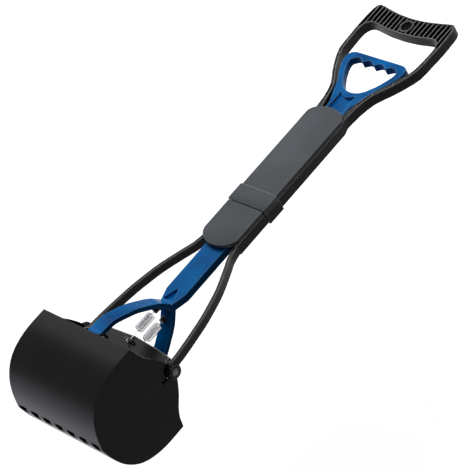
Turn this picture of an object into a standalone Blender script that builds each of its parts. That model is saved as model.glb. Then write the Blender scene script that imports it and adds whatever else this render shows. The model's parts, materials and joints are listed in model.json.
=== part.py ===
"""Folding pooper scooper: a D-grip handle, a pull rod, and two toothed jaws on a fork.

All lengths are in metres. X runs along the jaws' axle, -Y is the front with the
covers, +Z is up. Heights are measured from the axle, and one empty lifts the whole
tool, so that the lowest point of the closed jaws is at zero.
"""
import math

import bpy
import bmesh
from mathutils import Matrix, Vector

MM = 0.001

# Clearances
SEAT_GAP = 0.3 * MM
SLIDE_GAP = 0.4 * MM
OVERRUN = 1.0 * MM
JOIN_DEPTH = 0.5 * MM
WELD = 0.01 * MM

# Jaws, the driving sizes
JAW_HALF_WIDTH = 70.0 * MM
JAW_HALF_DEPTH = 64.2 * MM
JAW_DEPTH = 110.9 * MM
JAW_WALL = 2.2 * MM
EAR_RADIUS = 9.0 * MM
EAR_LINK = 8.0 * MM
SLOT_COUNT = 7
TOOTH_WIDTH = 8.0 * MM
TOOTH_DEPTH = 5.5 * MM
JAW_PROFILE_SHARES = [(0.0, -1.0), (0.296, -0.965), (0.576, -0.897), (0.802, -0.7845),
                      (0.935, -0.64), (0.997, -0.46), (1.0, -0.223)]
JAW_TOP_SHARES = [(0.81, -0.2), (0.645, -0.156), (0.461, -0.081), (0.249, -0.015)]

# Axle at each end
AXLE_RADIUS = 2.1 * MM
AXLE_HEAD_RADIUS = 4.0 * MM
AXLE_HEAD_THICKNESS = 1.4 * MM
AXLE_LENGTH = 25.0 * MM
WASHER_RADIUS = 8.0 * MM
WASHER_THICKNESS = 2.5 * MM

# Fork arms and tie bar
ARM_THICKNESS = 5.0 * MM
ARM_BOSS_THICKNESS = 5.5 * MM
ARM_HALF_DEPTH = 5.5 * MM
ARM_BOSS_RADIUS = 7.5 * MM
ARM_EDGE = 0.9 * MM
ARM_OUTER_SHARES = [(0.996, 0.0), (0.985, 0.13), (0.896, 0.385), (0.815, 0.53), (0.719, 0.665),
                    (0.548, 0.83), (0.452, 0.915), (0.405, 1.0)]
TIE_HALF_DEPTH = 6.9 * MM
TIE_RISE = 15.0 * MM
TIE_TOP_SHARES = [(0.0, 1.0), (0.23, 0.93), (0.5, 0.86), (0.76, 0.77), (1.0, 0.63)]
TIE_BOTTOM_SHARES = [(1.0, -0.43), (0.76, -0.43), (0.62, -0.3), (0.3, -0.22), (0.0, -0.2)]
TIE_EYE_HALF_WIDTH = 6.0 * MM
TIE_EYE_THICKNESS = 3.0 * MM
TIE_EYE_HEIGHT = 5.5 * MM

# Stem, shared by the handle frame and the fork
STEM_HALF_WIDTH = 27.5 * MM
STEM_HALF_DEPTH = 6.7 * MM
STEM_EDGE = 0.8 * MM
LOWER_STEM_LENGTH = 48.1 * MM
UPPER_STEM_LENGTH = 132.9 * MM
FOLD_HEIGHT = 203.1 * MM
STEM_BOTTOM = FOLD_HEIGHT - LOWER_STEM_LENGTH
SHOULDER_HEIGHT = FOLD_HEIGHT + UPPER_STEM_LENGTH
STEM_BACK_WALL = 1.3 * MM
COLLAR_HEIGHT = 23.4 * MM
COLLAR_HALF_WIDTH = 28.2 * MM
COLLAR_BACK = 9.2 * MM
RAIL_SKIN = 2.5 * MM
RAIL_WALL = 2.2 * MM
RIB_THICKNESS = 1.2 * MM
RIB_PITCH = 20.0 * MM

# Fold hinge, whose axis lies in the collar's back face
KNUCKLE_RADIUS = 2.7 * MM
KNUCKLE_START = 8.0 * MM
KNUCKLE_LENGTH = 6.0 * MM
FOLD_PIN_RADIUS = 1.1 * MM
KNUCKLE_TAIL = 9.5 * MM

# D-grip
GRIP_HALF_WIDTH = 62.5 * MM
GRIP_HEIGHT = 170.5 * MM
GRIP_RIM = 1.5 * MM
GRIP_WEB = 2.4 * MM
GRIP_RIB_PITCH = 6.2 * MM
GRIP_RIB_COUNT = 9
GRIP_RIB_FOOT_SHARE = 0.8
LADDER_FOOT_SHARE = 0.19
HANG_HOLE_RADIUS = 7.0 * MM
HANG_RING_RADIUS = 8.7 * MM
HANG_HOLE_SHARE = 0.886
GRIP_OUTER_SHARES = [(0.0, 0.958), (0.32, 0.965), (0.64, 0.984), (0.872, 1.0), (0.936, 0.987),
                     (0.979, 0.95), (0.992, 0.891), (1.0, 0.786), (0.985, 0.69), (0.965, 0.575),
                     (0.845, 0.475), (0.70, 0.387), (0.51, 0.287), (0.42, 0.17), (0.39, 0.053)]
GRIP_INNER_SHARES = [(0.0, 0.8147), (0.32, 0.82), (0.576, 0.834), (0.752, 0.8405), (0.84, 0.827),
                     (0.896, 0.795), (0.912, 0.75), (0.904, 0.68), (0.888, 0.598), (0.835, 0.531),
                     (0.714, 0.449), (0.584, 0.375), (0.442, 0.302), (0.379, 0.246),
                     (0.312, 0.147), (0.275, 0.094)]

# Pull rods and the finger handle
ROD_HALF_WIDTH = 15.0 * MM
ROD_HALF_DEPTH = STEM_HALF_DEPTH - STEM_BACK_WALL - SLIDE_GAP
ROD_EDGE = 0.8 * MM
ROD_POCKET_HALF_WIDTH = 11.5 * MM
ROD_POCKET_DEPTH = 3.0 * MM
ROD_POCKET_RISE = 11.9 * MM
ROD_POCKET_FOOT = FOLD_HEIGHT + ROD_POCKET_RISE
ROD_TRAVEL = 20.0 * MM
EYE_RADIUS = 2.4 * MM
EYE_PIN_RADIUS = 1.2 * MM
EYE_HALF_WIDTH = 3.3 * MM
EYE_PAIR_HALF_WIDTH = 7.0 * MM
EYE_TAIL = 9.0 * MM
EYE_ROOT = 1.3 * MM
PULL_WIDTH_SHARE = 0.7248
PULL_HEIGHT_SHARE = 0.4692
PULL_FOOT_SHARE = 0.12317
PULL_HALF_WIDTH = PULL_WIDTH_SHARE * GRIP_HALF_WIDTH
PULL_HEIGHT = PULL_HEIGHT_SHARE * GRIP_HEIGHT
PULL_FOOT = SHOULDER_HEIGHT + PULL_FOOT_SHARE * GRIP_HEIGHT
PULL_OUTER_SHARES = [(0.757, 1.0), (0.88, 0.985), (0.965, 0.935), (0.995, 0.87), (0.965, 0.78),
                     (0.883, 0.675), (0.777, 0.575), (0.667, 0.4875), (0.492, 0.2625),
                     (0.36, 0.1)]
PULL_HOLE_SHARES = [(0.775, 0.85), (0.77, 0.78), (0.63, 0.606), (0.375, 0.413), (0.15, 0.343),
                    (0.0, 0.333)]
FINGER_COUNT = 4
FINGER_PITCH = 2 * PULL_HOLE_SHARES[0][0] * PULL_HALF_WIDTH / FINGER_COUNT
FINGER_DEPTH = 5.0 * MM
POCKET_TOP_SHARES = [(1.0, 0.29), (0.5, 0.245), (0.0, 0.225)]

# Covers
COVER_HALF_WIDTH = 26.5 * MM
COVER_HEIGHT = 4.4 * MM
COVER_WALL = 2.0 * MM
COVER_EDGE = 1.0 * MM
COVER_RISE = 17.0 * MM
COVER_DROP = 10.0 * MM
COVER_TOP = SHOULDER_HEIGHT + COVER_RISE
COVER_BOTTOM = STEM_BOTTOM - COVER_DROP
COVER_ROUND = 14.0 * MM
LOWER_COVER_ROUND = 18.0 * MM
COVER_BAND_PROUD = 0.7 * MM
SCREW_OFFSET = 21.4 * MM
SCREW_RADIUS = 1.4 * MM
SCREW_HEAD_RADIUS = 2.8 * MM
SCREW_HEAD_THICKNESS = 1.6 * MM
SCREW_SEAT_DEPTH = 3.7 * MM
SCREW_BOSS_RADIUS = 4.0 * MM
COVER_BOSS_RADIUS = 3.4 * MM
LOWER_SCREW_SHARE = 0.52
SCREW_MARGIN = 14.0 * MM
SCREW_RISE = 38.9 * MM
UPPER_SCREW_HEIGHTS = [FOLD_HEIGHT + SCREW_RISE, SHOULDER_HEIGHT - SCREW_MARGIN]
LOWER_SCREW_HEIGHTS = [STEM_BOTTOM + LOWER_STEM_LENGTH * LOWER_SCREW_SHARE]

# Arch of the lower rod
ARCH_HALF_WIDTH = 9.0 * MM
ARCH_THICKNESS = 5.5 * MM
ARCH_HALF_SPAN = 50.0 * MM
ARCH_TOP = 67.0 * MM
ARCH_PIN_DROP = 20.0 * MM
ARCH_EYE_RADIUS = 4.2 * MM
ARCH_SHARES = [(0.0, 1.0), (0.12, 0.965), (0.33, 0.845), (0.46, 0.745), (0.585, 0.625),
               (0.77, 0.435), (0.955, 0.16), (1.035, 0.0), (1.06, -0.26)]
GUSSET_TOP = 81.0 * MM
GUSSET_FOOT = 62.0 * MM
GUSSET_DEPTH = 3.5 * MM
GUSSET_POCKET_TOP = 86.0 * MM
JAW_PIN_RADIUS = 1.6 * MM
LUG_THICKNESS = 2.5 * MM
LUG_RADIUS = 4.6 * MM
LUG_SLOT_RADIUS = 2.05 * MM
LUG_ROOT_SHARES = [(0.978, -0.255), (0.978, -0.46)]

# Springs and their posts
SPRING_OFFSET = 8.5 * MM
SPRING_WIRE_RADIUS = 0.48 * MM
SPRING_RADIUS = 4.8 * MM
SPRING_BOTTOM = 22.5 * MM
SPRING_LENGTH = 20.5 * MM
SPRING_CURLS = 15
SPRING_POINTS = 8
SPRING_LEAD = 3.0 * MM
HOOK_RADIUS = 1.5 * MM
HOOK_RISE = 2.5 * MM
POST_RADIUS = 3.2 * MM
POST_TOP = 53.4 * MM
POST_LENGTH = 5.5 * MM
POST_STUD_RADIUS = 1.5 * MM
POST_STUD_LENGTH = 3.5 * MM
POST_PAD_RADIUS = 3.9 * MM
POST_PAD_THICKNESS = 3.5 * MM
WIRE_HOLE_RADIUS = 1.1 * MM
WIRE_SEAT_DEPTH = 3.0 * MM

# Facets
CURVE_STEPS = 2
ROUND_SIDES = 24
SMALL_SIDES = 16

PARTS = bpy.data.collections.new("pooper_scooper")
CUTTERS = bpy.data.collections.new("cutters")


def material(name, colour, roughness, metallic):
    """A plain finish for one kind of moulding or wire."""
    finish = bpy.data.materials.new(name)
    finish.use_nodes = True
    shader = finish.node_tree.nodes["Principled BSDF"]
    shader.inputs["Base Color"].default_value = (*colour, 1.0)
    shader.inputs["Roughness"].default_value = roughness
    shader.inputs["Metallic"].default_value = metallic
    finish.diffuse_color = (*colour, 1.0)
    return finish


def smooth_run(points, steps=CURVE_STEPS):
    """Points of a smooth curve that passes through every given point."""
    run = []
    last = len(points) - 1
    for index in range(last):
        before = Vector(points[max(index - 1, 0)])
        start = Vector(points[index])
        end = Vector(points[index + 1])
        after = Vector(points[min(index + 2, last)])
        for step in range(steps):
            t = step / steps
            run.append(0.5 * (2 * start + (end - before) * t
                              + (2 * before - 5 * start + 4 * end - after) * t ** 2
                              + (3 * start - before - 3 * end + after) * t ** 3))
    run.append(Vector(points[last]))
    return [tuple(point) for point in run]


def scaled(shares, width, height, foot=0.0):
    """Shares of a width and a height as points above the foot."""
    return [(u * width, foot + v * height) for u, v in shares]


def both_sides(half):
    """A closed loop from its half on the positive side and the mirror image."""
    mirrored = [(-u, v) for u, v in reversed(half) if u > 0]
    return list(half) + mirrored


def arc(centre, radius, start, end, steps):
    """Points of an arc, its angles in degrees."""
    points = []
    for step in range(steps + 1):
        angle = math.radians(start + (end - start) * step / steps)
        points.append((centre[0] + radius * math.cos(angle),
                       centre[1] + radius * math.sin(angle)))
    return points


def offset_path(points, distance, closed):
    """The path moved sideways, to its left where the distance is positive."""
    count = len(points)
    moved = []
    for index in range(count):
        here = Vector(points[index])
        before = Vector(points[index - 1]) if closed or index > 0 else None
        after = Vector(points[(index + 1) % count]) if closed or index < count - 1 else None
        normals = []
        if before is not None:
            edge = (here - before).normalized()
            normals.append(Vector((-edge.y, edge.x)))
        if after is not None:
            edge = (after - here).normalized()
            normals.append(Vector((-edge.y, edge.x)))
        middle = sum(normals, Vector((0.0, 0.0))).normalized()
        stretch = 1 / max(middle.dot(normals[0]), 0.5)
        moved.append(tuple(here + middle * distance * stretch))
    return moved


def link(obj, collection):
    """Put an object into a collection and take it out of any other."""
    for old in list(obj.users_collection):
        old.objects.unlink(obj)
    collection.objects.link(obj)
    return obj


def turn_to(axis):
    """The turn that lays a flat outline across the given axis."""
    if axis == "X":
        return Matrix(((0, 0, 1, 0), (1, 0, 0, 0), (0, 1, 0, 0), (0, 0, 0, 1)))
    if axis == "Y":
        return Matrix(((1, 0, 0, 0), (0, 0, -1, 0), (0, 1, 0, 0), (0, 0, 0, 1)))
    return Matrix.Identity(4)


def outline_solid(name, loops, axis, low, high):
    """A flat outline, with any holes, given thickness between two places on an axis."""
    curve = bpy.data.curves.new(name, "CURVE")
    curve.dimensions = "2D"
    curve.fill_mode = "BOTH"
    curve.extrude = (high - low) / 2
    for loop in loops:
        spline = curve.splines.new("POLY")
        spline.points.add(len(loop) - 1)
        for point, (u, v) in zip(spline.points, loop):
            point.co = (u, v, 0, 1)
        spline.use_cyclic_u = True
    flat = bpy.data.objects.new(name + "_outline", curve)
    PARTS.objects.link(flat)
    bpy.context.view_layer.update()
    depsgraph = bpy.context.evaluated_depsgraph_get()
    mesh = bpy.data.meshes.new_from_object(flat.evaluated_get(depsgraph))
    bpy.data.objects.remove(flat)
    welded = bmesh.new()
    welded.from_mesh(mesh)
    bmesh.ops.remove_doubles(welded, verts=welded.verts, dist=WELD)
    bmesh.ops.dissolve_limit(welded, angle_limit=math.radians(0.5), verts=welded.verts,
                             edges=welded.edges)
    welded.to_mesh(mesh)
    welded.free()
    middle = (low + high) / 2
    mesh.transform(turn_to(axis))
    shift = {"X": (middle, 0, 0), "Y": (0, middle, 0), "Z": (0, 0, middle)}[axis]
    mesh.transform(Matrix.Translation(shift))
    return link(bpy.data.objects.new(name, mesh), PARTS)


def boxes(name, spans):
    """One object of separate boxes, each given as its lowest and highest corner."""
    shape = bmesh.new()
    for low, high in spans:
        size = [b - a for a, b in zip(low, high)]
        middle = [(a + b) / 2 for a, b in zip(low, high)]
        place = Matrix.Translation(middle) @ Matrix.Diagonal((*size, 1))
        bmesh.ops.create_cube(shape, size=1, matrix=place)
    mesh = bpy.data.meshes.new(name)
    shape.to_mesh(mesh)
    shape.free()
    return link(bpy.data.objects.new(name, mesh), PARTS)


def rods(name, radius, axis, places, low, high, sides=ROUND_SIDES):
    """One object of separate round rods along an axis, between two places on it."""
    shape = bmesh.new()
    turn = {"X": Matrix.Rotation(math.pi / 2, 4, "Y"),
            "Y": Matrix.Rotation(-math.pi / 2, 4, "X"),
            "Z": Matrix.Identity(4)}[axis]
    along = "XYZ".index(axis)
    for place in places:
        middle = list(place)
        middle[along] = (low + high) / 2
        bmesh.ops.create_cone(shape, cap_ends=True, segments=sides, radius1=radius,
                              radius2=radius, depth=high - low,
                              matrix=Matrix.Translation(middle) @ turn)
    mesh = bpy.data.meshes.new(name)
    shape.to_mesh(mesh)
    shape.free()
    return link(bpy.data.objects.new(name, mesh), PARTS)


def turned(name, profile, sides=ROUND_SIDES):
    """A turned piece about Z from a profile of radius and height, top to bottom."""
    mesh = bpy.data.meshes.new(name)
    mesh.from_pydata([(radius, 0, height) for radius, height in profile],
                     [(index, index + 1) for index in range(len(profile) - 1)], [])
    piece = link(bpy.data.objects.new(name, mesh), PARTS)
    screw = piece.modifiers.new("turn", "SCREW")
    screw.steps = sides
    screw.render_steps = sides
    screw.use_merge_vertices = True
    screw.merge_threshold = WELD
    return piece


def combine(target, tool, operation):
    """Cut a tool out of a piece, or join it on, with a live Boolean."""
    boolean = target.modifiers.new(operation.lower() + "_" + tool.name, "BOOLEAN")
    boolean.operation = operation
    boolean.solver = "EXACT"
    boolean.object = tool
    link(tool, CUTTERS)
    tool.hide_render = True
    tool.display_type = "WIRE"
    return target


def cut(target, tool):
    return combine(target, tool, "DIFFERENCE")


def join(target, tool):
    return combine(target, tool, "UNION")


def soften(piece, width, segments=1):
    """Break the sharp edges of a moulding."""
    bevel = piece.modifiers.new("edge", "BEVEL")
    bevel.width = width
    bevel.segments = segments
    bevel.limit_method = "ANGLE"
    bevel.angle_limit = math.radians(40)
    return piece


def empty_at(name, place, parent=None):
    """An empty on a joint's axis."""
    holder = bpy.data.objects.new(name, None)
    holder.empty_display_size = STEM_HALF_WIDTH
    holder.location = place
    holder.parent = parent
    PARTS.objects.link(holder)
    return holder


# Places that several pieces share
AXLE_HOLE_RADIUS = AXLE_RADIUS + SEAT_GAP
CAP_INNER = JAW_HALF_WIDTH - JAW_WALL
BOSS_OUTER = CAP_INNER - SEAT_GAP
BOSS_INNER = BOSS_OUTER - ARM_BOSS_THICKNESS
TIE_HALF_WIDTH = BOSS_INNER - SEAT_GAP
OUTER_EAR = JAW_HALF_WIDTH + SEAT_GAP
WASHER_SEAT = OUTER_EAR + JAW_WALL + SEAT_GAP
WASHER_OUTER = WASHER_SEAT + WASHER_THICKNESS
FOLD_AXIS = (0.0, COLLAR_BACK, FOLD_HEIGHT)
CHANNEL_HALF_WIDTH = ROD_HALF_WIDTH + SLIDE_GAP
CHANNEL_FLOOR = ROD_HALF_DEPTH + SLIDE_GAP
EYE_SLOT_HALF_WIDTH = EYE_PAIR_HALF_WIDTH + SLIDE_GAP
FRAME_KNUCKLE = KNUCKLE_START + KNUCKLE_LENGTH + SEAT_GAP
KNUCKLE_END = FRAME_KNUCKLE + KNUCKLE_LENGTH
COVER_BACK = STEM_HALF_DEPTH + SEAT_GAP
COVER_FRONT = COVER_BACK + COVER_HEIGHT
SCREW_SEAT = STEM_HALF_DEPTH - SCREW_SEAT_DEPTH
SPRING_TOP = SPRING_BOTTOM + SPRING_LENGTH
POST_BOTTOM = POST_TOP - POST_LENGTH
SIDES = {"left": -1, "right": 1}
ENDS = {"front": -1, "rear": 1}


def spread(low, high):
    """A span on both sides of the middle, as two spans along X."""
    return [(-high, -low), (low, high)]


def side_rods(name, radius, low, high, y=0.0, z=0.0, sides=ROUND_SIDES):
    """Rods along X, the same on both sides of the tool."""
    right = rods(name, radius, "X", [(0, y, z)], low, high, sides)
    left = right.data.copy()
    left.transform(Matrix.Rotation(math.pi, 4, "Z"))
    left.transform(Matrix.Translation((0, 2 * y, 0)))
    both = bmesh.new()
    both.from_mesh(right.data)
    both.from_mesh(left)
    both.to_mesh(right.data)
    both.free()
    bpy.data.meshes.remove(left)
    return right


def hinge_tail(radius, root, tail, direction):
    """Side outline of a hinge eye whose tail runs up (1) or down (-1) to its root."""
    points = arc((COLLAR_BACK, 0), radius, 20, -180, 10)
    points += [(root, EYE_ROOT), (root, tail)]
    return [(u, FOLD_HEIGHT + direction * v) for u, v in points]


def channel(name, foot, top):
    """The front-open channel that the pull rod slides in."""
    return boxes(name, [((-CHANNEL_HALF_WIDTH, -STEM_HALF_DEPTH - OVERRUN, foot),
                         (CHANNEL_HALF_WIDTH, CHANNEL_FLOOR, top))])


def eye_slot(name, foot, top):
    """The opening in the back that the rods' hinge eyes travel in."""
    return boxes(name, [((-EYE_SLOT_HALF_WIDTH, CHANNEL_FLOOR - JOIN_DEPTH, foot),
                         (EYE_SLOT_HALF_WIDTH, COLLAR_BACK + OVERRUN, top))])


def screw_places(heights):
    return [(side * SCREW_OFFSET, 0, height) for height in heights for side in (-1, 1)]


def rail_pockets(name, foot, top, heights):
    """Pockets in the back of both side rails, round the screw bosses."""
    low = CHANNEL_HALF_WIDTH + RAIL_WALL
    high = STEM_HALF_WIDTH - RAIL_WALL
    floor = -STEM_HALF_DEPTH + RAIL_SKIN
    cells = max(1, round((top - foot) / RIB_PITCH))
    pitch = (top - foot + RIB_THICKNESS) / cells
    spans = []
    for cell in range(cells):
        start = foot + cell * pitch
        for x0, x1 in spread(low, high):
            spans.append(((x0, floor, start),
                          (x1, STEM_HALF_DEPTH + OVERRUN, start + pitch - RIB_THICKNESS)))
    pockets = boxes(name, spans)
    bosses = rods(name + "_bosses", SCREW_BOSS_RADIUS, "Y", screw_places(heights),
                  floor - OVERRUN, STEM_HALF_DEPTH + 2 * OVERRUN)
    return cut(pockets, bosses)


def bore_for_screws(stem, heights):
    """Screw holes through the rails, with seats for the heads in the back."""
    cut(stem, rods(stem.name + "_screw_holes", SCREW_RADIUS + SEAT_GAP, "Y",
                   screw_places(heights), -STEM_HALF_DEPTH - OVERRUN,
                   STEM_HALF_DEPTH + OVERRUN, SMALL_SIDES))
    cut(stem, rods(stem.name + "_head_seats", SCREW_HEAD_RADIUS + SEAT_GAP, "Y",
                   screw_places(heights), SCREW_SEAT, STEM_HALF_DEPTH + 2 * OVERRUN,
                   SMALL_SIDES))


def grip_outlines():
    """The outer and inner loops of the handle frame, both from the top centre."""
    outer = smooth_run(scaled(GRIP_OUTER_SHARES, GRIP_HALF_WIDTH, GRIP_HEIGHT,
                              SHOULDER_HEIGHT))
    outer += [(STEM_HALF_WIDTH, SHOULDER_HEIGHT),
              (STEM_HALF_WIDTH, FOLD_HEIGHT + 2 * SEAT_GAP)]
    inner = smooth_run(scaled(GRIP_INNER_SHARES, GRIP_HALF_WIDTH, GRIP_HEIGHT,
                              SHOULDER_HEIGHT))
    return both_sides(outer), both_sides(inner)


def grip_pockets():
    """Pockets on both faces of the D-grip, between the rims, the web and the ribs."""
    outer, inner = grip_outlines()
    high = STEM_HALF_DEPTH + OVERRUN
    region = outline_solid("grip_pockets",
                           [offset_path(outer, -GRIP_RIM, True),
                            offset_path(inner, GRIP_RIM, True)], "Y", -high, high)
    wide = GRIP_HALF_WIDTH + OVERRUN
    past = high + OVERRUN
    top = SHOULDER_HEIGHT + GRIP_HEIGHT + OVERRUN
    rib_foot = SHOULDER_HEIGHT + GRIP_RIB_FOOT_SHARE * GRIP_HEIGHT
    ladder_foot = SHOULDER_HEIGHT + LADDER_FOOT_SHARE * GRIP_HEIGHT
    cut(region, boxes("grip_web", [((-wide, -GRIP_WEB / 2, FOLD_HEIGHT - OVERRUN),
                                    (wide, GRIP_WEB / 2, top))]))
    cut(region, boxes("grip_foot", [((-wide, -past, FOLD_HEIGHT - 2 * OVERRUN),
                                     (wide, past, ladder_foot))]))
    half = RIB_THICKNESS / 2
    uprights = []
    for index in range(1, GRIP_RIB_COUNT + 1):
        for x0, x1 in spread(index * GRIP_RIB_PITCH - half, index * GRIP_RIB_PITCH + half):
            uprights.append(((x0, -past, rib_foot), (x1, past, top + OVERRUN)))
    cut(region, boxes("grip_ribs", uprights))
    rungs = []
    height = ladder_foot + RIB_PITCH
    while height < rib_foot + half:
        for x0, x1 in spread(CHANNEL_HALF_WIDTH, wide):
            rungs.append(((x0, -past, height - half), (x1, past, height + half)))
        height += RIB_PITCH
    cut(region, boxes("ladder_rungs", rungs))
    hole = SHOULDER_HEIGHT + HANG_HOLE_SHARE * GRIP_HEIGHT
    cut(region, rods("hang_ring", HANG_RING_RADIUS, "Y", [(0, 0, hole)], -past, past))
    return region


def handle_frame():
    """The black handle: D-grip, ladder arms, stem, collar and two hinge knuckles."""
    outer, inner = grip_outlines()
    frame = outline_solid("handle_frame", [outer, inner], "Y",
                          -STEM_HALF_DEPTH, STEM_HALF_DEPTH)
    soften(frame, STEM_EDGE)
    collar_top = FOLD_HEIGHT + COLLAR_HEIGHT
    collar = boxes("collar", [((-COLLAR_HALF_WIDTH, 2 * STEM_EDGE - STEM_HALF_DEPTH,
                                FOLD_HEIGHT + SEAT_GAP),
                               (COLLAR_HALF_WIDTH, COLLAR_BACK - SEAT_GAP, collar_top))])
    join(frame, soften(collar, STEM_EDGE / 2))
    join(frame, side_rods("frame_knuckles", KNUCKLE_RADIUS, FRAME_KNUCKLE, KNUCKLE_END,
                          COLLAR_BACK, FOLD_HEIGHT))
    hollow_foot = SHOULDER_HEIGHT + GRIP_INNER_SHARES[-1][1] * GRIP_HEIGHT
    cut(frame, channel("frame_channel", FOLD_HEIGHT - KNUCKLE_RADIUS,
                       hollow_foot + OVERRUN))
    cut(frame, eye_slot("frame_eye_slot", FOLD_HEIGHT - KNUCKLE_RADIUS,
                        FOLD_HEIGHT + EYE_TAIL + ROD_TRAVEL + OVERRUN))
    cut(frame, side_rods("frame_knuckle_reliefs", KNUCKLE_RADIUS + SLIDE_GAP,
                         KNUCKLE_START - SEAT_GAP, FRAME_KNUCKLE - SEAT_GAP / 2,
                         COLLAR_BACK, FOLD_HEIGHT))
    cut(frame, side_rods("frame_pin_holes", FOLD_PIN_RADIUS + SEAT_GAP,
                         FRAME_KNUCKLE - OVERRUN, KNUCKLE_END + OVERRUN,
                         COLLAR_BACK, FOLD_HEIGHT, SMALL_SIDES))
    cut(frame, rail_pockets("frame_rail_pockets", collar_top + RAIL_SKIN,
                            SHOULDER_HEIGHT - RAIL_SKIN, UPPER_SCREW_HEIGHTS))
    bore_for_screws(frame, UPPER_SCREW_HEIGHTS)
    cut(frame, grip_pockets())
    hole = SHOULDER_HEIGHT + HANG_HOLE_SHARE * GRIP_HEIGHT
    cut(frame, rods("hang_hole", HANG_HOLE_RADIUS, "Y", [(0, 0, hole)],
                    -STEM_HALF_DEPTH - OVERRUN, STEM_HALF_DEPTH + OVERRUN))
    return frame


def cover_outline(half_width, foot, top, round_top, round_height):
    """A cover's front outline, straight at the fold and elliptical at the far end."""
    curve = [(half_width * math.sin(math.radians(9 * step)),
              round_height * math.cos(math.radians(9 * step))) for step in range(11)]
    if round_top:
        half = [(u, top - round_height + v) for u, v in curve] + [(half_width, foot)]
    else:
        half = [(0.0, top), (half_width, top)]
        half += [(u, foot + round_height - v) for u, v in reversed(curve)]
    return both_sides(half)


def cover(name, outline, heights):
    """A thin grey shell over the front of the stem, with a boss for each screw."""
    shell = outline_solid(name, [outline], "Y", -COVER_FRONT, -COVER_BACK)
    soften(shell, COVER_EDGE, 2)
    if name == "upper_cover":
        front = COVER_FRONT + COVER_BAND_PROUD
        band = boxes("cover_band",
                     [((-COLLAR_HALF_WIDTH, -front, FOLD_HEIGHT + SEAT_GAP),
                       (COLLAR_HALF_WIDTH, -COVER_BACK - SEAT_GAP / 2,
                        FOLD_HEIGHT + COLLAR_HEIGHT))])
        join(shell, soften(band, COVER_EDGE, 2))
    inside = offset_path(outline, -COVER_WALL, True)
    cut(shell, outline_solid(name + "_inside", [inside], "Y",
                             -COVER_FRONT + COVER_WALL, -COVER_BACK + OVERRUN))
    join(shell, rods(name + "_bosses", COVER_BOSS_RADIUS, "Y", screw_places(heights),
                     -COVER_FRONT + COVER_WALL - JOIN_DEPTH, -COVER_BACK))
    cut(shell, rods(name + "_pilots", SCREW_RADIUS + SEAT_GAP, "Y", screw_places(heights),
                    -COVER_FRONT + COVER_WALL, -COVER_BACK + OVERRUN, SMALL_SIDES))
    return shell


def cover_screw(name, place):
    """A screw that holds a cover from behind."""
    foot = -COVER_FRONT + COVER_WALL + SEAT_GAP
    head = SCREW_SEAT + SEAT_GAP
    top = head + SCREW_HEAD_THICKNESS
    screw = turned(name, [(0, top), (SCREW_HEAD_RADIUS, top), (SCREW_HEAD_RADIUS, head),
                          (SCREW_RADIUS, head), (SCREW_RADIUS, foot), (0, foot)],
                   SMALL_SIDES)
    screw.rotation_euler = (-math.pi / 2, 0, 0)
    screw.location = place
    return screw


def pull_handle():
    """The blue finger handle and the upper pull rod, in one moulding."""
    outer = [(0.0, PULL_FOOT + PULL_HEIGHT)]
    outer += smooth_run(scaled(PULL_OUTER_SHARES, PULL_HALF_WIDTH, PULL_HEIGHT, PULL_FOOT))
    outer += [(ROD_HALF_WIDTH, PULL_FOOT), (ROD_HALF_WIDTH, FOLD_HEIGHT + SEAT_GAP)]
    cusp = PULL_FOOT + PULL_HOLE_SHARES[0][1] * PULL_HEIGHT
    hole = []
    for groove in range(FINGER_COUNT // 2):
        for step in range(6):
            along = step / 6
            hole.append(((groove + along) * FINGER_PITCH,
                         cusp + FINGER_DEPTH * math.sin(math.pi * along)))
    hole += smooth_run(scaled(PULL_HOLE_SHARES, PULL_HALF_WIDTH, PULL_HEIGHT, PULL_FOOT))
    handle = outline_solid("pull_handle", [both_sides(outer), both_sides(hole)], "Y",
                           -ROD_HALF_DEPTH, ROD_HALF_DEPTH)
    soften(handle, ROD_EDGE)
    pocket = [(share * ROD_POCKET_HALF_WIDTH, PULL_FOOT + rise * PULL_HEIGHT)
              for share, rise in reversed(POCKET_TOP_SHARES)]
    pocket.append((ROD_POCKET_HALF_WIDTH, ROD_POCKET_FOOT))
    cut(handle, outline_solid("rod_pocket", [both_sides(pocket)], "Y",
                              -ROD_HALF_DEPTH - OVERRUN,
                              -ROD_HALF_DEPTH + ROD_POCKET_DEPTH))
    eye = hinge_tail(EYE_RADIUS, ROD_HALF_DEPTH - JOIN_DEPTH, EYE_TAIL, 1)
    join(handle, outline_solid("upper_eye", [eye], "X", -EYE_HALF_WIDTH, EYE_HALF_WIDTH))
    cut(handle, rods("upper_eye_hole", EYE_PIN_RADIUS + SEAT_GAP, "X", [FOLD_AXIS],
                     -EYE_HALF_WIDTH - OVERRUN, EYE_HALF_WIDTH + OVERRUN, SMALL_SIDES))
    return handle


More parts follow.
